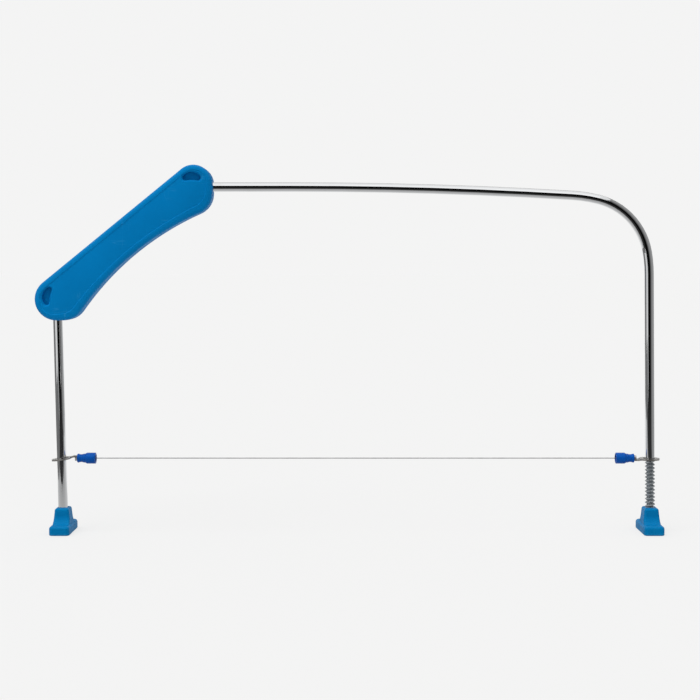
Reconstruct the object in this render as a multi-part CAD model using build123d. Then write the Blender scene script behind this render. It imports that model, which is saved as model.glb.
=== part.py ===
from build123d import *
import os
from math import asin, atan2, cos, degrees, hypot, radians, sin, sqrt, tan

# Wire cake leveler. A bent steel bow carries a taut cutting wire between its two legs.
# Drawn in millimetres: X runs across the bow, Y from front to back, Z up from the table.
# While it is drawn, X = 0 lies midway between the two legs at the height of the wire.
# At the end the whole model moves so that its origin is the bottom centre of its box.

# Bow: one chromed rod, bent in the XZ plane only. Turns are in degrees, all clockwise.
rod_diameter = 4.8
leg_span = 304.8
leg_lean = 0.9
bow_height = 178.25
grip_pitch = 39.06
grip_run = 89.95
grip_bend_radius = 12.0
droop_turn = 3.4
droop_length = 143.0
shoulder_entry_radius = 75.0
shoulder_entry_turn = 10.6
shoulder_radius = 34.0
shoulder_exit_radius = 70.0
shoulder_exit_turn = 9.1

# Coarse thread rolled on the right leg, below the wire
thread_pitch = 1.88
thread_crest_diameter = 5.2
thread_root_diameter = 3.2
thread_crest_width = 0.26
thread_valley_width = 0.26
thread_ring_gap = 0.35
thread_foot_gap = 0.3

# Foot: a moulded shoe pushed on the end of each leg
foot_width = 10.5
foot_length = 25.5
foot_height = 12.8
foot_base_height = 4.8
foot_floor = 2.5
post_base_width = 8.9
post_top_width = 7.2
post_depth = 9.6
post_flare_radius = 4.6
post_flare_turn = 72.0
post_corner_radius = 1.3
post_top_radius = 1.2
foot_corner_radius = 2.0
foot_edge_radius = 1.5
sole_edge_radius = 0.55
foot_fit_clearance = 0.05

# Handle: two moulded half shells closed over the rod's sloping run
handle_depth = 16.0
lower_nose_radius = 10.9
lower_nose_drop = 0.8
upper_nose_radius = 9.6
upper_nose_rise = 0.45
upper_nose_overhang = 1.8
handle_corner_radius = 11.1
waist_width = 17.85
waist_radius = 145.0
waist_shift = -2.0
crown_radius = 62.0
handle_edge_radius = 2.2
parting_chamfer = 0.25
handle_wall = 2.2
handle_face_wall = 2.6
channel_clearance = 0.08

# Inside the handle: ribs that saddle the rod, and pegs that join the halves
rib_thickness = 1.6
rib_place_shares = (-0.43, -0.16, 0.16, 0.43)
peg_boss_diameter = 4.8
peg_diameter = 2.6
peg_length = 3.6
peg_clearance = 0.08
peg_end_gap = 0.5
boss_rod_gap = 0.9
boss_place_shares = ((-0.32, 1), (0.0, 1), (0.32, 1), (-0.36, -1), (0.36, -1))

# Blind pocket in each end of the handle: kidney-shaped, its outer side round like the nose
pocket_margin = 3.8
pocket_radius = 5.8
pocket_width = 4.0
pocket_shift = 0.75
pocket_inner_radius = 20.0
pocket_corner_radius = 1.4
pocket_lip = 0.85
pocket_lip_slope = 45.0
pocket_depth = 3.6
pocket_floor = 1.2
pocket_wall = 1.2

# Shallow panel sunk in each face of the handle, with a sloping border
panel_depth = 0.3
panel_margin = 2.3
panel_border_slope = 35.0
panel_cut_depth = 1.5

# Cutting wire and the insulated ring terminals crimped on its ends
wire_height = 38.45
wire_diameter = 0.5
ring_diameter = 11.0
ring_hole_diameter = 6.3
ring_thickness = 0.8
ring_pull = 0.45
neck_root_width = 6.2
neck_root_distance = 4.2
tongue_offset = 0.9
ramp_length = 1.3
barrel_start = 6.6
barrel_length = 6.4
barrel_diameter = 2.8
crimp_clearance = 0.03
left_ring_height = -0.3
left_ring_tilt = 7.5
right_ring_height = -0.45
right_ring_tilt = 0.0

# Insulating sleeve: narrow over the barrel, flared where the wire goes in
sleeve_start = 7.75
sleeve_length = 9.55
sleeve_grip_length = 4.0
sleeve_step_length = 1.0
sleeve_grip_diameter = 4.6
sleeve_mouth_diameter = 5.7
sleeve_mouth_wall = 0.75
sleeve_edge_radius = 0.3
sleeve_crimp_depth = 0.3
sleeve_crimp_radius = 3.0
sleeve_clearance = 0.04

# What every cut runs past the face that it opens
overrun = 1.0

# Steps of the curve that draws each flank of the thread's section
flank_steps = 10

square = 90.0
rod_radius = rod_diameter / 2
towards_front = (0, -1, 0)
towards_back = (0, 1, 0)


def at(point):
    """A point of the bow's plane as a place in the model."""
    return Vector(point[0], 0, point[1])


def ahead(point, heading, length):
    """The point that lies length away along a heading, in degrees from +X towards +Z."""
    return (point[0] + length * cos(radians(heading)), point[1] + length * sin(radians(heading)))


def shifted(point, right, up):
    return (point[0] + right, point[1] + up)


def after_bend(point, heading, radius, turn):
    """Where a clockwise bend ends, and its heading there."""
    centre = ahead(point, heading - square, radius)
    return ahead(centre, heading + square - turn, radius), heading - turn


def tangent_length(radius, turn):
    return radius * tan(radians(turn / 2))


def arc_about(centre, radius, first_angle, last_angle):
    angles = (first_angle, (first_angle + last_angle) / 2, last_angle)
    return ThreePointArc(*[at(ahead(centre, angle, radius)) for angle in angles])


def heading_between(start, end):
    return degrees(atan2(end[1] - start[1], end[0] - start[0]))


def distance(start, end):
    return hypot(end[0] - start[0], end[1] - start[1])


# The two legs lean the same way, so that they stay parallel
leg_heading = square + leg_lean
left_leg_at_wire = (-leg_span / 2, wire_height)
right_leg_at_wire = (leg_span / 2, wire_height)


def leg_point(leg_at_wire, height):
    """The point of a leg's axis at a height above the table."""
    return ahead(leg_at_wire, leg_heading, (height - wire_height) / cos(radians(leg_lean)))


# Route of the rod's axis, from the left foot up, over the handle and down to the right foot
left_rod_end = leg_point(left_leg_at_wire, foot_floor)
right_rod_end = leg_point(right_leg_at_wire, foot_floor)
lower_grip_corner = leg_point(left_leg_at_wire, bow_height - grip_run * sin(radians(grip_pitch)))
upper_grip_corner = ahead(lower_grip_corner, grip_pitch, grip_run)
lower_grip_turn = leg_heading - grip_pitch
upper_grip_turn = grip_pitch
droop_radius = droop_length / radians(droop_turn)
shoulder_turn = square - leg_lean - droop_turn - shoulder_entry_turn - shoulder_exit_turn
lower_tangent = tangent_length(grip_bend_radius, lower_grip_turn)
upper_tangent = tangent_length(grip_bend_radius, upper_grip_turn)


def rod_route(top_run):
    """Each straight run with the bend that follows it: length, bend radius, turn."""
    return [
        (distance(left_rod_end, lower_grip_corner) - lower_tangent, grip_bend_radius, lower_grip_turn),
        (grip_run - lower_tangent - upper_tangent, grip_bend_radius, upper_grip_turn),
        (top_run, droop_radius, droop_turn),
        (0, shoulder_entry_radius, shoulder_entry_turn),
        (0, shoulder_radius, shoulder_turn),
        (0, shoulder_exit_radius, shoulder_exit_turn),
    ]


def walk(route):
    """The edges of a route, and the point that it ends at."""
    edges = []
    point = left_rod_end
    heading = leg_heading
    for length, radius, turn in route:
        if length > 0:
            corner = ahead(point, heading, length)
            edges.append(Line(at(point), at(corner)))
            point = corner
        middle = after_bend(point, heading, radius, turn / 2)[0]
        end, next_heading = after_bend(point, heading, radius, turn)
        edges.append(ThreePointArc(at(point), at(middle), at(end)))
        point = end
        heading = next_heading
    return edges, point


# The level top run takes up whatever width the bends leave
shoulder_end = walk(rod_route(0))[1]
top_run = leg_point(right_leg_at_wire, shoulder_end[1])[0] - shoulder_end[0]
bow_edges, shoulder_end = walk(rod_route(top_run))

ring_underside = wire_height + right_ring_height - ring_thickness / 2
thread_top = leg_point(right_leg_at_wire, ring_underside - thread_ring_gap)
thread_bottom = leg_point(right_leg_at_wire, foot_height + thread_foot_gap)


def leg_location(point):
    """A frame at a point of a leg's axis, with its Z up the leg."""
    up_the_leg = at(ahead((0, 0), leg_heading, 1))
    return Plane(origin=at(point), x_dir=(0, 1, 0), z_dir=up_the_leg).location


def upright(radius, height):
    return Cylinder(radius, height, align=(Align.CENTER, Align.CENTER, Align.MIN))


def threaded_length(length):
    """A right-hand thread that starts on the XY plane: its level section, twisted as it rises."""
    crest_angle = 2 * square * thread_crest_width / thread_pitch
    valley_angle = 2 * square * (1 - thread_valley_width / thread_pitch)
    crest_radius = thread_crest_diameter / 2
    depth = (thread_crest_diameter - thread_root_diameter) / 2

    def flank_point(share, side):
        angle = side * (crest_angle + share * (valley_angle - crest_angle))
        return ahead((0, 0), angle, crest_radius - share * depth)

    shares = [step / flank_steps for step in range(flank_steps + 1)]
    rising = [flank_point(share, 1) for share in shares]
    falling = [flank_point(share, -1) for share in shares]
    crest = ThreePointArc(rising[0], (crest_radius, 0), falling[0])
    valley = ThreePointArc(rising[-1], (depth - crest_radius, 0), falling[-1])
    section = make_face([crest, Spline(*rising), valley, Spline(*falling)]).face()
    turns = length / thread_pitch
    return Solid.extrude_linear_with_rotation(section, Vector(), Vector(0, 0, length), 4 * square * turns)


def bow_rod():
    straight_down = Line(at(shoulder_end), at(thread_top))
    axis = Wire(bow_edges + [straight_down])
    section = Plane(origin=axis @ 0, z_dir=axis % 0) * Circle(rod_radius)
    thread = leg_location(thread_bottom) * threaded_length(distance(thread_bottom, thread_top))
    plain_end = leg_location(right_rod_end) * upright(rod_radius, distance(right_rod_end, thread_bottom))
    return sweep(section, path=axis) + thread + plain_end


def foot_base():
    """The slab that stands on the table, rounded all over."""
    slab = Box(foot_width, foot_length, foot_base_height, align=(Align.CENTER, Align.CENTER, Align.MIN))
    slab = fillet(slab.edges().filter_by(Axis.Z), foot_corner_radius)
    slab = fillet(slab.faces().sort_by(Axis.Z)[-1].edges(), foot_edge_radius)
    return fillet(slab.faces().sort_by(Axis.Z)[0].edges(), sole_edge_radius)


def foot_post():
    """The post that holds the leg. It narrows upwards and flares into the base front and back."""
    half_depth = post_depth / 2
    flare_rise = post_flare_radius * sin(radians(post_flare_turn))
    flare_centre = (half_depth + post_flare_radius, foot_base_height + flare_rise)
    flare_top = (half_depth, flare_centre[1])
    flare_middle = ahead(flare_centre, 2 * square + post_flare_turn / 2, post_flare_radius)
    flare_end = ahead(flare_centre, 2 * square + post_flare_turn, post_flare_radius)
    buried = foot_base_height / 2
    side_line = Polyline((0, buried), (flare_end[0], buried), flare_end)
    side_line += ThreePointArc(flare_end, flare_middle, flare_top)
    side_line += Polyline(flare_top, (half_depth, foot_height), (0, foot_height), (0, buried))
    side_half = extrude(make_face(Plane.YZ * side_line), amount=foot_width / 2, both=True)
    side = side_half + mirror(side_half, about=Plane.XZ)
    front_points = [
        (post_base_width / 2, buried),
        (post_base_width / 2, foot_base_height),
        (post_top_width / 2, foot_height),
    ]
    front_points += [(-x, z) for x, z in reversed(front_points)]
    front_face = make_face(Plane.XZ * Polyline(*front_points, close=True))
    post = side & extrude(front_face, amount=foot_length, both=True)
    corners = [
        edge for edge in post.edges()
        if edge.center().Z > foot_base_height and edge.bounding_box().size.Z > post_corner_radius
    ]
    post = fillet(corners, post_corner_radius)
    return fillet(post.faces().sort_by(Axis.Z)[-1].edges(), post_top_radius)


def foot(leg_at_wire):
    """A foot that stands flat on the table, centred under a leaning leg at half its height."""
    socket_place = leg_location(leg_point(leg_at_wire, foot_floor))
    socket = socket_place * upright(rod_radius + foot_fit_clearance, foot_height)
    shoe = foot_base() + foot_post()
    return Pos(leg_point(leg_at_wire, foot_height / 2)[0], 0, 0) * shoe - socket


# Handle: its outline follows from the rod's two corners inside it
lower_nose = ahead(lower_grip_corner, grip_pitch - square, lower_nose_drop)
past_upper_corner = ahead(upper_grip_corner, grip_pitch, upper_nose_overhang)
upper_nose = ahead(past_upper_corner, grip_pitch + square, upper_nose_rise)
nose_span = distance(lower_nose, upper_nose)
handle_pitch = heading_between(lower_nose, upper_nose)
top_edge_normal = handle_pitch + square - degrees(asin((lower_nose_radius - upper_nose_radius) / nose_span))
waist_offset = waist_width - (lower_nose_radius + upper_nose_radius) / 2
waist_middle = ahead(lower_nose, handle_pitch, nose_span / 2 + waist_shift)
waist_centre = ahead(waist_middle, handle_pitch - square, waist_offset + waist_radius)
corner_reach = waist_radius + handle_corner_radius
lower_corner_rise = lower_nose[1] - lower_nose_radius + handle_corner_radius
lower_corner_run = sqrt(corner_reach ** 2 - (lower_corner_rise - waist_centre[1]) ** 2)
lower_corner = (waist_centre[0] - lower_corner_run, lower_corner_rise)
upper_corner_x = upper_nose[0] + upper_nose_radius - handle_corner_radius
upper_corner_lift = sqrt(corner_reach ** 2 - (upper_corner_x - waist_centre[0]) ** 2)
upper_corner = (upper_corner_x, waist_centre[1] + upper_corner_lift)
half_handle = handle_depth / 2

# Each nose: its middle, its radius, the heading that its pocket's round side faces, and the
# side to which the pocket is shifted
noses = [
    (lower_nose, lower_nose_radius, 2 * grip_pitch + square, 1),
    (upper_nose, upper_nose_radius, square, -1),
]


def facing_front(point, heading):
    """A frame at a point of the bow's plane, with its X along a heading and its Z to the front."""
    return Plane(origin=at(point), x_dir=at(ahead((0, 0), heading, 1)), z_dir=towards_front).location


# Frame of the rod's run inside the handle: X up its slope
grip = facing_front(ahead(lower_grip_corner, grip_pitch, grip_run / 2), grip_pitch)


def handle_face(inset):
    """The handle's outline from the front, drawn in by inset all round."""
    lower = lower_nose_radius - inset
    upper = upper_nose_radius - inset
    corner = handle_corner_radius - inset
    waist = waist_radius + inset
    upper_angle = heading_between(upper_corner, waist_centre)
    lower_angle = heading_between(lower_corner, waist_centre)
    edges = [
        Line(at(ahead(lower_nose, top_edge_normal, lower)), at(ahead(upper_nose, top_edge_normal, upper))),
        arc_about(upper_nose, upper, top_edge_normal, 0),
        Line(at(shifted(upper_nose, upper, 0)), at(shifted(upper_corner, corner, 0))),
        arc_about(upper_corner, corner, 0, upper_angle),
        arc_about(waist_centre, waist, upper_angle + 2 * square, lower_angle + 2 * square),
        arc_about(lower_corner, corner, lower_angle, -square),
        Line(at(shifted(lower_corner, 0, -corner)), at(shifted(lower_nose, 0, -lower))),
        arc_about(lower_nose, lower, 3 * square, top_edge_normal),
    ]
    return make_face(edges)


def pocket_face(margin):
    """A pocket's outline, grown by margin all round. Its local Y points to the nose's edge."""
    inner_top = pocket_radius - pocket_width
    inner = Pos(0, inner_top - pocket_inner_radius) * Circle(pocket_inner_radius - margin)
    kidney = Circle(pocket_radius + margin) - inner
    return fillet(kidney.vertices(), pocket_corner_radius + margin)


def pockets(margin, bottom, top, spread=0):
    """A solid of the pocket's outline in each nose, between two distances from the parting plane."""
    block = extrude(pocket_face(margin), amount=top - bottom, taper=-spread)
    return [
        facing_front(nose, heading - square)
        * Pos(side * pocket_shift, radius - pocket_margin - pocket_radius, bottom) * block
        for nose, radius, heading, side in noses
    ]


def crown(drop):
    """The round bar that the handle's face is part of, lowered by drop towards the parting plane."""
    middle = Pos(0, waist_width / 2 - waist_offset, half_handle - crown_radius - drop)
    bar = Cylinder(crown_radius, 2 * nose_span, rotation=(0, square, 0))
    return facing_front(waist_middle, handle_pitch) * middle * bar


def panel_cut():
    """What sinks the panel: it follows the outline, and its floor is crowned like the face."""
    face = Pos(0, -half_handle, 0) * handle_face(panel_margin)
    wedge = extrude(face, amount=panel_cut_depth, dir=towards_back, taper=square - panel_border_slope)
    return wedge - crown(panel_depth)


def boss_places():
    """Places of the peg bosses in the handle's frame, above and below the rod."""
    offset = rod_radius + boss_rod_gap + peg_boss_diameter / 2
    return [(share * grip_run, side * offset) for share, side in boss_place_shares]


def plain_half():
    """The front half shell before its pegs: crowned outside, ribbed inside."""
    block = extrude(handle_face(0), amount=half_handle, dir=towards_front) & crown(0)
    block = fillet(block.faces().sort_by(Axis.Y)[0].edges(), handle_edge_radius)
    block = chamfer(block.faces().sort_by(Axis.Y)[-1].edges(), parting_chamfer)

    cavity = extrude(handle_face(handle_wall), amount=half_handle - handle_face_wall, dir=towards_front)
    for share in rib_place_shares:
        cavity -= grip * Pos(share * grip_run, 0, 0) * Box(rib_thickness, nose_span, handle_depth)
    for x, y in boss_places():
        cavity -= grip * Pos(x, y, 0) * upright(peg_boss_diameter / 2, half_handle)
    cavity -= pockets(pocket_wall, half_handle - pocket_depth - pocket_floor, half_handle)

    axis = Wire(bow_edges)
    section = Plane(origin=axis @ 0, z_dir=axis % 0) * Circle(rod_radius + channel_clearance)
    block = block - cavity - sweep(section, path=axis)
    block = block - panel_cut() - pockets(0, half_handle - pocket_depth, half_handle + overrun)
    mouth_start = half_handle - panel_depth - pocket_lip
    return block - pockets(0, mouth_start, half_handle, pocket_lip_slope)


def handle_front_shell(half):
    for x, y in boss_places():
        half += grip * Pos(x, y, -peg_length) * upright(peg_diameter / 2, 2 * peg_length)
    return half


def handle_rear_shell(half):
    rear = mirror(half, about=Plane.XZ)
    depth = peg_length + peg_end_gap
    for x, y in boss_places():
        rear -= grip * Pos(x, y, -depth) * upright(peg_diameter / 2 + peg_clearance, depth + overrun)
    return rear


def terminal_location(leg_at_wire, inward):
    """A frame at a ring's centre, with its X along the wire and its Z up."""
    origin = at(shifted(leg_at_wire, inward * ring_pull, 0))
    return Plane(origin=origin, x_dir=(inward, 0, 0), z_dir=(0, 0, 1)).location


def ring_terminal(tongue_side, ring_height, ring_tilt):
    """Flat ring, necked down to the crimp barrel. The tongue lies above or below the wire."""
    slope = tan(radians(ring_tilt))
    ring_radius = ring_diameter / 2
    tongue_height = tongue_side * tongue_offset
    tongue_start = neck_root_distance + ramp_length
    tongue_end = sleeve_start - sleeve_clearance
    outer = -ring_radius - overrun
    middle_line = [
        (outer, ring_height + slope * outer),
        (neck_root_distance, ring_height + slope * neck_root_distance),
        (tongue_start, tongue_height),
        (tongue_end, tongue_height),
    ]
    strip_points = [(x, z + ring_thickness / 2) for x, z in middle_line]
    strip_points += [(x, z - ring_thickness / 2) for x, z in reversed(middle_line)]
    strip_face = make_face(Plane.XZ * Polyline(*strip_points, close=True))
    strip = extrude(strip_face, amount=ring_diameter, both=True)
    neck_points = [
        (0, neck_root_width / 2),
        (neck_root_distance, neck_root_width / 2),
        (barrel_start, barrel_diameter / 2),
        (tongue_end, barrel_diameter / 2),
    ]
    neck_points += [(x, -y) for x, y in reversed(neck_points)]
    plan = Circle(ring_radius) + make_face(Polyline(*neck_points, close=True))
    plan -= Circle(ring_hole_diameter / 2)
    plate = strip & extrude(plan, amount=ring_diameter, both=True)
    barrel = Pos(barrel_start, 0, 0) * Rot(0, square, 0) * upright(barrel_diameter / 2, barrel_length)
    bore_radius = wire_diameter / 2 + crimp_clearance
    bore = Rot(0, square, 0) * upright(bore_radius, barrel_start + barrel_length + overrun)
    return plate + barrel - bore


def terminal_sleeve():
    """Insulating sleeve, squeezed in where it is crimped on the barrel."""
    grip_end = sleeve_start + sleeve_grip_length
    mouth_start = grip_end + sleeve_step_length
    mouth_end = sleeve_start + sleeve_length
    barrel_end = barrel_start + barrel_length
    bore_radius = barrel_diameter / 2 + sleeve_clearance
    mouth_bore_radius = sleeve_mouth_diameter / 2 - sleeve_mouth_wall
    outside = [
        (sleeve_start, sleeve_grip_diameter / 2),
        (grip_end, sleeve_grip_diameter / 2),
        (mouth_start, sleeve_mouth_diameter / 2),
        (mouth_end, sleeve_mouth_diameter / 2),
    ]
    inside = [
        (mouth_end, mouth_bore_radius),
        (barrel_end + sleeve_step_length, mouth_bore_radius),
        (barrel_end, bore_radius),
        (sleeve_start, bore_radius),
    ]
    wall = make_face(Polyline(*outside, *inside, close=True))
    crimp_height = sleeve_grip_diameter / 2 + sleeve_crimp_radius - sleeve_crimp_depth
    wall -= Pos(sleeve_start + sleeve_grip_length / 2, crimp_height) * Circle(sleeve_crimp_radius)
    corners = [outside[0], outside[3]]
    rounded = [
        vertex for vertex in wall.vertices()
        if min(distance((vertex.X, vertex.Y), corner) for corner in corners) < sleeve_clearance
    ]
    return revolve(fillet(rounded, sleeve_edge_radius), axis=Axis.X)


def cutting_wire():
    reach = leg_span / 2 - ring_pull - barrel_start
    return Pos(0, 0, wire_height) * Cylinder(wire_diameter / 2, 2 * reach, rotation=(0, square, 0))


def main():
    half = plain_half()
    left = terminal_location(left_leg_at_wire, 1)
    right = terminal_location(right_leg_at_wire, -1)
    parts = {
        "bow_rod": bow_rod(),
        "handle_front_shell": handle_front_shell(half),
        "handle_rear_shell": handle_rear_shell(half),
        "left_foot": foot(left_leg_at_wire),
        "right_foot": foot(right_leg_at_wire),
        "cutting_wire": cutting_wire(),
        "left_ring_terminal": left * ring_terminal(1, left_ring_height, left_ring_tilt),
        "right_ring_terminal": right * ring_terminal(-1, right_ring_height, right_ring_tilt),
        "left_terminal_sleeve": left * terminal_sleeve(),
        "right_terminal_sleeve": right * terminal_sleeve(),
    }
    boxes = [shape.bounding_box() for shape in parts.values()]
    middle_x = (min(box.min.X for box in boxes) + max(box.max.X for box in boxes)) / 2
    middle_y = (min(box.min.Y for box in boxes) + max(box.max.Y for box in boxes)) / 2
    home = Pos(-middle_x, -middle_y, -min(box.min.Z for box in boxes))
    os.makedirs("parts", exist_ok=True)
    for name, shape in parts.items():
        export_step(home * shape, f"parts/{name}.step")
    print("moved by", home.position)


main()
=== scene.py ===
# Wire cake leveler: the finish of each piece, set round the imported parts.
# Everything is in metres: X across the bow, Y from front to back, Z up from the table.
import math

import bpy
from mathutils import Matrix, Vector

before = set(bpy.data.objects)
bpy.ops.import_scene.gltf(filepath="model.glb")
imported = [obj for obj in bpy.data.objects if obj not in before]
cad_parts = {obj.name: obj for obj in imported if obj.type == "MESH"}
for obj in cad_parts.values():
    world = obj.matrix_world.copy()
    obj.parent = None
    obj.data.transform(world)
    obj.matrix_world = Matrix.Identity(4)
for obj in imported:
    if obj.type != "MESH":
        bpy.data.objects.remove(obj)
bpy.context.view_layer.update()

print("frame loaded:", len(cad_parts), "parts")


# camera: where the photograph was taken from

cameraSettings = {
    "place": (0.0, -0.7471, 0.13838),
    "pitch": 86.6451,  # degrees up from straight down
    "lens": 74.571,
    "sensor": 36.0,
    "near": 0.01,
    "far": 50.0,
}


def makeCamera(settings):
    data = bpy.data.cameras.new("productCamera")
    data.lens = settings["lens"]
    data.sensor_fit = "HORIZONTAL"
    data.sensor_width = settings["sensor"]
    data.clip_start = settings["near"]
    data.clip_end = settings["far"]
    camera = bpy.data.objects.new("productCamera", data)
    camera.location = settings["place"]
    camera.rotation_euler = (math.radians(settings["pitch"]), 0.0, 0.0)
    bpy.context.scene.collection.objects.link(camera)
    bpy.context.scene.camera = camera


makeCamera(cameraSettings)
bpy.context.scene.view_settings.view_transform = "Standard"


# node helpers, used by every material below

white = (1.0, 1.0, 1.0, 1.0)
cloudNoise = {"detail": 3.0, "fray": 0.5, "band": (0.3, 0.7)}  # where a pattern says nothing else
lineNoise = {"detail": 2.0, "fray": 0.4, "middle": 0.5}
edgeLook = {"samples": 6, "span": (0.80, 0.995)}


def startMaterial(name):
    material = bpy.data.materials.new(name)
    material.use_nodes = True
    material.node_tree.nodes.clear()
    return material, material.node_tree


def node(tree, kind, settings=None, **inputs):
    made = tree.nodes.new(kind)
    for key, value in (settings or {}).items():
        setattr(made, key, value)
    for key, value in inputs.items():
        plug(tree, value, made.inputs[key.replace("_", " ")])
    return made


def plug(tree, value, socket):
    # a socket takes a link, a colour or a plain number
    if isinstance(value, bpy.types.NodeSocket):
        tree.links.new(value, socket)
    else:
        socket.default_value = value


def calculate(tree, operation, first, second, clamp=False):
    made = node(tree, "ShaderNodeMath", {"operation": operation, "use_clamp": clamp})
    plug(tree, first, made.inputs[0])
    plug(tree, second, made.inputs[1])
    return made.outputs[0]


def blendColours(tree, share, first, second):
    # sockets 6 and 7 are the node's pair of colours
    made = node(tree, "ShaderNodeMix", {"data_type": "RGBA", "blend_type": "MIX"})
    plug(tree, share, made.inputs["Factor"])
    plug(tree, first, made.inputs[6])
    plug(tree, second, made.inputs[7])
    return made.outputs[2]


def ramp(tree, value, low, high, fromLow=0.0, fromHigh=1.0):
    made = node(tree, "ShaderNodeMapRange", {"interpolation_type": "SMOOTHSTEP"})
    plug(tree, value, made.inputs["Value"])
    plug(tree, fromLow, made.inputs["From Min"])
    plug(tree, fromHigh, made.inputs["From Max"])
    plug(tree, low, made.inputs["To Min"])
    plug(tree, high, made.inputs["To Max"])
    return made.outputs["Result"]


def place(tree, stretch=(1.0, 1.0, 1.0), turn=(0.0, 0.0, 0.0)):
    # a point of the piece, stretched so that grain can run along it
    where = node(tree, "ShaderNodeTexCoord")
    mapped = node(tree, "ShaderNodeMapping", {"vector_type": "POINT"})
    plug(tree, where.outputs["Object"], mapped.inputs["Vector"])
    plug(tree, turn, mapped.inputs["Rotation"])
    plug(tree, stretch, mapped.inputs["Scale"])
    return mapped.outputs["Vector"]


def mottle(tree, where, look):
    # cloudy pattern whose blotches are about one grain across, in metres
    look = {**cloudNoise, **look}
    made = node(tree, "ShaderNodeTexNoise", {"noise_dimensions": "3D"})
    plug(tree, where, made.inputs["Vector"])
    plug(tree, 1.0 / look["grain"], made.inputs["Scale"])
    plug(tree, look["detail"], made.inputs["Detail"])
    plug(tree, look["fray"], made.inputs["Roughness"])
    return made.outputs["Fac"]


def patches(tree, where, look, low, high):
    # the same pattern, with a band of its noise spread from low to high
    band = look.get("band", cloudNoise["band"])
    return ramp(tree, mottle(tree, where, look), low, high, *band)


def hairlines(tree, spacing, look):
    # 1 on thin wandering lines, 0 between them
    where = place(tree, look["stretch"], look["turn"])
    noise = mottle(tree, where, {**lineNoise, "grain": spacing})
    away = calculate(tree, "ABSOLUTE", calculate(tree, "SUBTRACT", noise, lineNoise["middle"]), 0.0)
    return ramp(tree, away, 1.0, 0.0, 0.0, look["width"])


def blend(tree, share, first, second):
    # sockets 2 and 3 are the node's pair of plain numbers
    made = node(tree, "ShaderNodeMix", {"data_type": "FLOAT"})
    plug(tree, share, made.inputs["Factor"])
    plug(tree, first, made.inputs[2])
    plug(tree, second, made.inputs[3])
    return made.outputs[0]


def raised(tree, height, depth, under=None):
    # bump of a depth in metres
    made = node(tree, "ShaderNodeBump")
    plug(tree, height, made.inputs["Height"])
    plug(tree, depth, made.inputs["Distance"])
    if under is not None:
        plug(tree, under, made.inputs["Normal"])
    return made.outputs["Normal"]


def edgeShare(tree, radius):
    # 1 on an edge, 0 on a flat: how far the rounded normal leaves the true one
    soft = node(tree, "ShaderNodeBevel", {"samples": edgeLook["samples"]})
    plug(tree, radius, soft.inputs["Radius"])
    true = node(tree, "ShaderNodeNewGeometry")
    along = node(tree, "ShaderNodeVectorMath", {"operation": "DOT_PRODUCT"})
    plug(tree, soft.outputs["Normal"], along.inputs[0])
    plug(tree, true.outputs["Normal"], along.inputs[1])
    return ramp(tree, along.outputs["Value"], 1.0, 0.0, *edgeLook["span"])


def finishShader(tree, fixed, **linked):
    shader = node(tree, "ShaderNodeBsdfPrincipled")
    for key, value in fixed.items():
        shader.inputs[key].default_value = value
    for key, value in linked.items():
        plug(tree, value, shader.inputs[key.replace("_", " ")])
    output = node(tree, "ShaderNodeOutputMaterial")
    tree.links.new(shader.outputs["BSDF"], output.inputs["Surface"])


def paint(nodeName, material):
    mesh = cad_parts[nodeName].data
    mesh.materials.clear()
    mesh.materials.append(material)


# studio: pale floor, soft lamps, and cards that only shiny surfaces see

studio = {
    "background": (0.905, 0.905, 0.903, 1.0),
    "floorGlow": 0.80,  # share of the floor that is even background, the rest takes shadow
    "floorColour": (0.775, 0.775, 0.772, 1.0),
    "floorBounce": (0.56, 0.56, 0.56, 1.0),  # how pale the floor is for the light it throws up
    "floorSize": 40.0,
    "floorDrop": 0.00005,
    "roomGlow": (0.45, 1.05),  # light from the horizon and from overhead
    "frontShare": 0.40,  # how much of it is left on the dark side that the camera looks from
    "frontReach": (-1.0, 0.6),  # from straight in front to where the light is full
}

# soft suns: where each stands, its strength and how wide it spreads, in degrees
lamps = {
    "keyLamp": {"from": (-0.45, -0.50, 1.2), "strength": 1.55, "spread": 45.0},
    "fillLamp": {"from": (0.1, -1.0, 0.35), "strength": 0.5, "spread": 80.0},
}

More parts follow.
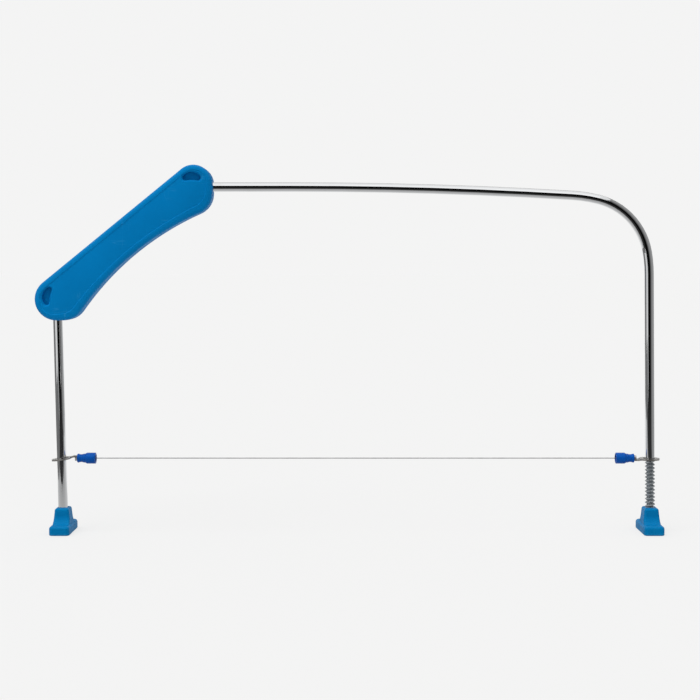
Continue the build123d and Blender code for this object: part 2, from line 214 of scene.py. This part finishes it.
# cards: middle, what they face, size, brightness at their two ends, and the side that it runs along
cards = {
    "ceiling": {
        "at": (-0.05, -0.16, 0.62), "aim": (-0.05, -0.16, 0.0),
        "size": (0.8, 0.92), "glow": (1.22, 0.92), "along": "Y",
    },
    "leftWall": {
        "at": (-0.32, -0.36, 0.31), "aim": (0.0, -0.36, 0.31),
        "size": (0.56, 0.5), "glow": (0.85, 0.55), "along": "X",
    },
    "leftWallBack": {
        "at": (-0.32, 0.22, 0.26), "aim": (0.0, 0.22, 0.26),
        "size": (0.6, 0.52), "glow": (0.2, 0.2), "along": "X",
    },
    "leftWallFoot": {
        "at": (-0.32, -0.24, 0.03), "aim": (0.0, -0.24, 0.03),
        "size": (0.32, 0.06), "glow": (0.17, 0.17), "along": "X",
    },
    "leftWallNear": {
        "at": (-0.32, -0.52, 0.03), "aim": (0.0, -0.52, 0.03),
        "size": (0.24, 0.06), "glow": (0.58, 0.58), "along": "X",
    },
    "rightWall": {
        "at": (0.36, -0.22, 0.27), "aim": (0.0, -0.22, 0.27),
        "size": (0.6, 0.54), "glow": (0.05, 0.36), "along": "X",
    },
    "rightWallBack": {
        "at": (0.36, 0.28, 0.27), "aim": (0.0, 0.28, 0.27),
        "size": (0.4, 0.54), "glow": (0.36, 0.40), "along": "X",
    },
    "darkRoom": {
        "at": (0.02, -1.1, 0.2), "aim": (0.02, 0.0, 0.2),
        "size": (1.6, 1.2), "glow": (0.003, 0.003), "along": "X",
    },
    "darkBack": {
        "at": (0.0, 1.3, 0.72), "aim": (0.0, 0.0, 0.72),
        "size": (1.8, 0.6), "glow": (0.03, 0.03), "along": "X",
    },
    "floorNear": {
        "at": (0.0, -0.02, 0.0004), "aim": (0.0, -0.02, 1.0),
        "size": (1.2, 0.30), "glow": (0.41, 0.67), "along": "Y",
    },
    "floorFront": {
        "at": (0.0, -0.65, 0.0003), "aim": (0.0, -0.65, 1.0),
        "size": (1.2, 0.96), "glow": (0.002, 0.035), "along": "Y",
    },
}


def aimAt(thing, target):
    heading = Vector(target) - thing.location
    thing.rotation_euler = heading.to_track_quat("-Z", "Y").to_euler()


def makeRectangle(name, width, depth, material):
    mesh = bpy.data.meshes.new(name)
    corners = [(x * width / 2, y * depth / 2, 0.0) for x, y in ((-1, -1), (1, -1), (1, 1), (-1, 1))]
    mesh.from_pydata(corners, [], [(0, 1, 2, 3)])
    mesh.materials.append(material)
    made = bpy.data.objects.new(name, mesh)
    bpy.context.scene.collection.objects.link(made)
    return made


def seenDirectly(tree):
    # 1 for the camera and for mirrors and clear pieces, 0 for light that bounces off matt ones
    ray = node(tree, "ShaderNodeLightPath")
    seen = calculate(tree, "MAXIMUM", ray.outputs["Is Camera Ray"], ray.outputs["Is Glossy Ray"])
    return calculate(tree, "MAXIMUM", seen, ray.outputs["Is Transmission Ray"])


def makeFloor(settings):
    # an even pale sheet; its matt share keeps the shadow
    material, tree = startMaterial("palePaper")
    seen = seenDirectly(tree)
    colour = blendColours(tree, seen, settings["floorBounce"], settings["floorColour"])
    sheet = node(tree, "ShaderNodeBsdfDiffuse", Color=colour)
    glow = node(tree, "ShaderNodeEmission", Color=settings["background"], Strength=1.0)
    share = calculate(tree, "MULTIPLY", seen, settings["floorGlow"])
    mixed = node(tree, "ShaderNodeMixShader")
    plug(tree, share, mixed.inputs[0])
    tree.links.new(sheet.outputs[0], mixed.inputs[1])
    tree.links.new(glow.outputs[0], mixed.inputs[2])
    output = node(tree, "ShaderNodeOutputMaterial")
    tree.links.new(mixed.outputs[0], output.inputs["Surface"])
    floor = makeRectangle("floor", settings["floorSize"], settings["floorSize"], material)
    floor.location.z = -settings["floorDrop"]


def makeWorld(settings):
    # backdrop for the camera and the metal, softer light for everything else
    world = bpy.data.worlds.new("studioWorld")
    world.use_nodes = True
    tree = world.node_tree
    tree.nodes.clear()
    backdrop = node(tree, "ShaderNodeBackground", Color=settings["background"], Strength=1.0)
    towards = node(tree, "ShaderNodeTexCoord")
    apart = node(tree, "ShaderNodeSeparateXYZ", Vector=towards.outputs["Generated"])
    height = ramp(tree, apart.outputs["Z"], *settings["roomGlow"])
    side = ramp(tree, apart.outputs["Y"], settings["frontShare"], 1.0, *settings["frontReach"])
    level = calculate(tree, "MULTIPLY", height, side)
    room = node(tree, "ShaderNodeBackground", Color=white, Strength=level)
    mixed = node(tree, "ShaderNodeMixShader")
    tree.links.new(seenDirectly(tree), mixed.inputs[0])
    tree.links.new(room.outputs[0], mixed.inputs[1])
    tree.links.new(backdrop.outputs[0], mixed.inputs[2])
    output = node(tree, "ShaderNodeOutputWorld")
    tree.links.new(mixed.outputs[0], output.inputs["Surface"])
    world.cycles.sampling_method = "NONE"  # so that the cards hide it from shiny surfaces
    bpy.context.scene.world = world


def makeLamp(name, settings):
    data = bpy.data.lights.new(name, "SUN")
    data.energy = settings["strength"]
    data.angle = math.radians(settings["spread"])
    lamp = bpy.data.objects.new(name, data)
    lamp.location = settings["from"]
    aimAt(lamp, (0.0, 0.0, 0.0))
    lamp.visible_glossy = False  # shiny surfaces see the cards instead
    bpy.context.scene.collection.objects.link(lamp)


def makeCard(name, settings):
    material, tree = startMaterial(name + "Paper")
    where = node(tree, "ShaderNodeTexCoord")
    apart = node(tree, "ShaderNodeSeparateXYZ", Vector=where.outputs["Object"])
    reach = settings["size"]["XY".index(settings["along"])] / 2
    near, far = settings["glow"]
    level = ramp(tree, apart.outputs[settings["along"]], near, far, -reach, reach)
    glow = node(tree, "ShaderNodeEmission", Color=white, Strength=level)
    output = node(tree, "ShaderNodeOutputMaterial")
    tree.links.new(glow.outputs[0], output.inputs["Surface"])
    card = makeRectangle(name, *settings["size"], material)
    card.location = settings["at"]
    aimAt(card, settings["aim"])
    for ray in ("camera", "diffuse", "transmission", "volume_scatter", "shadow"):
        setattr(card, "visible_" + ray, False)


makeFloor(studio)
makeWorld(studio)
for lampName, lampSettings in lamps.items():
    makeLamp(lampName, lampSettings)
for cardName, cardSettings in cards.items():
    makeCard(cardName, cardSettings)
print("studio ready:", len(lamps), "lamps and", len(cards), "cards")


# bow rod: bright chrome, dull where the thread is rolled, with painted shade in the thread's valleys

chrome = {
    "colour": (0.76, 0.77, 0.78, 1.0),
    "smudged": (0.70, 0.71, 0.71, 1.0),
    "crest": (0.64, 0.67, 0.69, 1.0),
    # the valley colour is painted shade, darker than the crest
    "valley": (0.42, 0.46, 0.49, 1.0),
    "rough": (0.02, 0.05),
    "smudgeRough": 0.11,
    "rubRough": 0.16,
    "crestRough": 0.34,
    "valleyRough": 0.62,
    "threadTop": 0.0375,
    "threadFade": 0.0004,
    "threadSide": 0.10,  # the thread is on the leg past this X
    "sideFade": 0.001,
    "legFoot": 0.15597,  # X of that leg's axis on the table
    "legLean": -0.0157,
    "radii": (0.0018, 0.0025),  # of the thread's valley and crest
    "grime": {"grain": 0.0009, "detail": 4.0, "fray": 0.6},
    "grimeLevel": 0.18,
    "smudges": {"grain": 0.018, "detail": 5.0, "fray": 0.65, "band": (0.52, 0.74)},
    "polish": {"grain": 0.010, "detail": 4.0},
    "ringReach": (0.014, 0.108),  # heights that the rings slide between
    "ringFade": (0.002, 0.012),
    "hairSpacing": 0.0011,
    "hairs": {"width": 0.012, "stretch": (1.0, 1.0, 0.03), "turn": (0.0, 0.0, 0.0)},
    "skin": {"grain": 0.0006, "detail": 2.0},
    "skinDepth": 0.0000015,
    "hairDepth": 0.000002,
}


def threadShare(tree, apart, settings):
    # 1 on the rolled thread, 0 on the plain rod
    top, topFade = settings["threadTop"], settings["threadFade"]
    side, sideFade = settings["threadSide"], settings["sideFade"]
    low = ramp(tree, apart.outputs["Z"], 1.0, 0.0, top - topFade, top + topFade)
    across = ramp(tree, apart.outputs["X"], 0.0, 1.0, side - sideFade, side + sideFade)
    return calculate(tree, "MULTIPLY", low, across)


def crestShare(tree, where, apart, settings):
    # 1 on the thread's crest, 0 in its valley, blurred by grime; the colour uses it to paint shade into
    # the valleys
    lean = calculate(tree, "MULTIPLY", apart.outputs["Z"], settings["legLean"])
    axis = calculate(tree, "ADD", lean, settings["legFoot"])
    aside = calculate(tree, "SUBTRACT", apart.outputs["X"], axis)
    across = node(tree, "ShaderNodeCombineXYZ", X=aside, Y=apart.outputs["Y"])
    radius = node(tree, "ShaderNodeVectorMath", {"operation": "LENGTH"}, Vector=across.outputs[0])
    grime = patches(tree, where, settings["grime"], -settings["grimeLevel"], settings["grimeLevel"])
    rise = ramp(tree, radius.outputs["Value"], 0.0, 1.0, *settings["radii"])
    return calculate(tree, "ADD", rise, grime, clamp=True)


def ringRub(tree, apart, settings):
    # hairlines along the legs, where the rings have slid
    bottom, top = settings["ringReach"]
    bottomFade, topFade = settings["ringFade"]
    above = ramp(tree, apart.outputs["Z"], 0.0, 1.0, bottom - bottomFade, bottom)
    below = ramp(tree, apart.outputs["Z"], 1.0, 0.0, top - topFade, top)
    hairs = hairlines(tree, settings["hairSpacing"], settings["hairs"])
    return calculate(tree, "MULTIPLY", hairs, calculate(tree, "MULTIPLY", above, below))


def makeChrome(settings):
    material, tree = startMaterial("rodChrome")
    where = place(tree)
    apart = node(tree, "ShaderNodeSeparateXYZ", Vector=where)
    thread = threadShare(tree, apart, settings)
    crest = crestShare(tree, where, apart, settings)
    rub = ringRub(tree, apart, settings)
    smudge = patches(tree, where, settings["smudges"], 0.0, 1.0)

    plainColour = blendColours(tree, smudge, settings["colour"], settings["smudged"])
    # painted shade: the thread's valleys are coloured darker than its crests
    threadColourWithPaintedShade = blendColours(tree, crest, settings["valley"], settings["crest"])
    colour = blendColours(tree, thread, plainColour, threadColourWithPaintedShade)

    polish = patches(tree, where, settings["polish"], *settings["rough"])
    polish = blend(tree, smudge, polish, settings["smudgeRough"])
    polish = blend(tree, rub, polish, settings["rubRough"])
    threadRough = blend(tree, crest, settings["valleyRough"], settings["crestRough"])
    rough = blend(tree, thread, polish, threadRough)

    normal = raised(tree, mottle(tree, where, settings["skin"]), settings["skinDepth"])
    normal = raised(tree, rub, -settings["hairDepth"], normal)
    finishShader(tree, {"Metallic": 1.0}, Base_Color=colour, Roughness=rough, Normal=normal)
    return material


paint("bow_rod", makeChrome(chrome))


# handle and feet: satin moulded plastic

moulding = {
    "drift": {"grain": 0.03},
    "wornEdge": 0.0012,
    "wear": {"grain": 0.004, "detail": 5.0, "fray": 0.7, "band": (0.45, 0.75)},
    "wearLevel": 0.6,
    "scratchWays": (
        {"width": 0.006, "stretch": (1.0, 1.0, 0.09), "turn": (0.0, 0.9, 0.3)},
        {"width": 0.006, "stretch": (0.08, 1.0, 1.0), "turn": (0.2, 0.5, 0.0)},
    ),
    "scratched": {"grain": 0.009, "band": (0.5, 0.68)},
    "scratchLevel": 0.7,
    "scratchDepth": 0.000015,
    "dragged": {"grain": 0.0012, "detail": 5.0, "fray": 0.7, "band": (0.4, 0.62)},
    "dragLevels": (0.1, 0.9),
    "satin": {"grain": 0.008, "detail": 4.0},
}

handlePlastic = {
    "colour": (0.0006, 0.212, 0.545, 1.0),
    "shade": (0.0005, 0.194, 0.505, 1.0),
    "worn": (0.012, 0.28, 0.64, 1.0),
    "scuffed": (0.02, 0.27, 0.60, 1.0),
    "rough": (0.46, 0.56),
    "scuffRough": 0.66,
    "gloss": 0.11,
    "glossTint": (0.12, 0.6, 1.0, 1.0),
    "skin": {"grain": 0.00035, "detail": 2.0},
    "skinDepth": 0.000014,
    "scratchSpacing": 0.006,
    "soleHeight": None,  # it stands on nothing
}

footPlastic = {
    "colour": (0.0005, 0.194, 0.465, 1.0),
    "shade": (0.0005, 0.176, 0.43, 1.0),
    "worn": (0.014, 0.31, 0.57, 1.0),
    "scuffed": (0.03, 0.26, 0.48, 1.0),
    "rough": (0.42, 0.52),
    "scuffRough": 0.7,
    "gloss": 0.16,
    "glossTint": (0.12, 0.6, 1.0, 1.0),
    "skin": {"grain": 0.00028, "detail": 2.0},
    "skinDepth": 0.000012,
    "scratchSpacing": 0.003,
    "soleHeight": 0.0016,
}


def soleScuffs(tree, where, settings):
    # rubbed where the sole is dragged over the table
    height = node(tree, "ShaderNodeSeparateXYZ", Vector=where).outputs["Z"]
    sole = ramp(tree, height, 1.0, 0.0, 0.0, settings["soleHeight"])
    dragged = patches(tree, where, settings["dragged"], *settings["dragLevels"])
    return calculate(tree, "MULTIPLY", sole, dragged)


def makePlastic(name, settings):
    material, tree = startMaterial(name)
    where = place(tree)

    # moulded colour drifts a little, and rubs paler along the edges
    drift = patches(tree, where, settings["drift"], 0.0, 1.0)
    colour = blendColours(tree, drift, settings["shade"], settings["colour"])
    wear = patches(tree, where, settings["wear"], 0.0, settings["wearLevel"])
    rubbed = calculate(tree, "MULTIPLY", edgeShare(tree, settings["wornEdge"]), wear)
    colour = blendColours(tree, rubbed, colour, settings["worn"])

    # faint scratches two ways, in patches
    first, second = [hairlines(tree, settings["scratchSpacing"], way) for way in settings["scratchWays"]]
    faint = patches(tree, where, settings["scratched"], 0.0, settings["scratchLevel"])
    scratches = calculate(tree, "MULTIPLY", calculate(tree, "MAXIMUM", first, second), faint)
    scuffs = scratches
    if settings["soleHeight"]:
        scuffs = calculate(tree, "MAXIMUM", scratches, soleScuffs(tree, where, settings))
    colour = blendColours(tree, scuffs, colour, settings["scuffed"])

    satin = patches(tree, where, settings["satin"], *settings["rough"])
    rough = blend(tree, scuffs, satin, settings["scuffRough"])
    normal = raised(tree, mottle(tree, where, settings["skin"]), settings["skinDepth"])
    normal = raised(tree, scratches, -settings["scratchDepth"], normal)
    fixed = {"Specular IOR Level": settings["gloss"], "Specular Tint": settings["glossTint"]}
    finishShader(tree, fixed, Base_Color=colour, Roughness=rough, Normal=normal)
    return material


handleBlue = makePlastic("handlePlastic", {**moulding, **handlePlastic})
for half in ("handle_front_shell", "handle_rear_shell"):
    paint(half, handleBlue)
footBlue = makePlastic("footPlastic", {**moulding, **footPlastic})
for foot in ("left_foot", "right_foot"):
    paint(foot, footBlue)


# cutting wire: drawn steel

cuttingWire = {
    "colour": (0.60, 0.60, 0.61, 1.0),
    "dull": (0.46, 0.46, 0.47, 1.0),
    "worn": (0.68, 0.68, 0.69, 1.0),
    "rough": (0.22, 0.34),
    "stretch": (0.02, 1.0, 1.0),
    "streaks": {"grain": 0.00008},
    "blotches": {"grain": 0.004, "detail": 4.0, "band": (0.32, 0.68)},
    "wornEdge": 0.00006,
    "streakDepth": 0.000004,
}

# ring terminals: stamped and tinned sheet

ringTerminal = {
    "colour": (0.56, 0.55, 0.53, 1.0),
    "dull": (0.38, 0.37, 0.35, 1.0),
    "worn": (0.70, 0.67, 0.62, 1.0),
    "rough": (0.26, 0.42),
    "stretch": (1.0, 0.25, 1.0),
    "streaks": {"grain": 0.00035},
    "blotches": {"grain": 0.0025, "detail": 4.0, "band": (0.32, 0.68)},
    "wornEdge": 0.00022,
    "streakDepth": 0.000006,
}


def makeMetal(name, settings):
    material, tree = startMaterial(name)
    where = place(tree)
    along = place(tree, settings["stretch"])
    cloud = patches(tree, where, settings["blotches"], 0.0, 1.0)
    colour = blendColours(tree, cloud, settings["dull"], settings["colour"])
    edge = edgeShare(tree, settings["wornEdge"])
    colour = blendColours(tree, edge, colour, settings["worn"])
    rough = patches(tree, along, settings["streaks"], *settings["rough"])
    rough = blend(tree, edge, rough, settings["rough"][0])
    normal = raised(tree, mottle(tree, along, settings["streaks"]), settings["streakDepth"])
    finishShader(tree, {"Metallic": 1.0}, Base_Color=colour, Roughness=rough, Normal=normal)
    return material


paint("cutting_wire", makeMetal("wireSteel", cuttingWire))
terminalTin = makeMetal("terminalTin", ringTerminal)
for terminal in ("left_ring_terminal", "right_ring_terminal"):
    paint(terminal, terminalTin)


# sleeves of the terminals: glossy vinyl, rubbed paler along its edges

sleeve = {
    "colour": (0.001, 0.085, 0.42, 1.0),
    "shade": (0.001, 0.070, 0.36, 1.0),
    "worn": (0.01, 0.13, 0.50, 1.0),
    "rough": (0.28, 0.40),
    "gloss": 0.4,
    "glossTint": (0.2, 0.5, 1.0, 1.0),
    "drift": {"grain": 0.002},
    "wornEdge": 0.0004,
    "wear": {"grain": 0.0012, "detail": 4.0, "fray": 0.6, "band": (0.4, 0.7)},
    "wearLevels": (0.1, 0.8),
    "shine": {"grain": 0.001},
    "scratchSpacing": 0.0012,
    "scratches": {"width": 0.01, "stretch": (0.1, 1.0, 1.0), "turn": (0.0, 0.0, 0.0)},
    "scratchDepth": 0.000005,
    "skin": {"grain": 0.0003, "detail": 2.0},
    "skinDepth": 0.000006,
}


def makeVinyl(settings):
    material, tree = startMaterial("sleeveVinyl")
    where = place(tree)
    drift = patches(tree, where, settings["drift"], 0.0, 1.0)
    colour = blendColours(tree, drift, settings["shade"], settings["colour"])
    wear = patches(tree, where, settings["wear"], *settings["wearLevels"])
    rubbed = calculate(tree, "MULTIPLY", edgeShare(tree, settings["wornEdge"]), wear)
    colour = blendColours(tree, rubbed, colour, settings["worn"])
    rough = patches(tree, where, settings["shine"], *settings["rough"])
    scratches = hairlines(tree, settings["scratchSpacing"], settings["scratches"])
    normal = raised(tree, mottle(tree, where, settings["skin"]), settings["skinDepth"])
    normal = raised(tree, scratches, -settings["scratchDepth"], normal)
    fixed = {"Specular IOR Level": settings["gloss"], "Specular Tint": settings["glossTint"]}
    finishShader(tree, fixed, Base_Color=colour, Roughness=rough, Normal=normal)
    return material


vinyl = makeVinyl(sleeve)
for terminalSleeve in ("left_terminal_sleeve", "right_terminal_sleeve"):
    paint(terminalSleeve, vinyl)
print("materials ready")
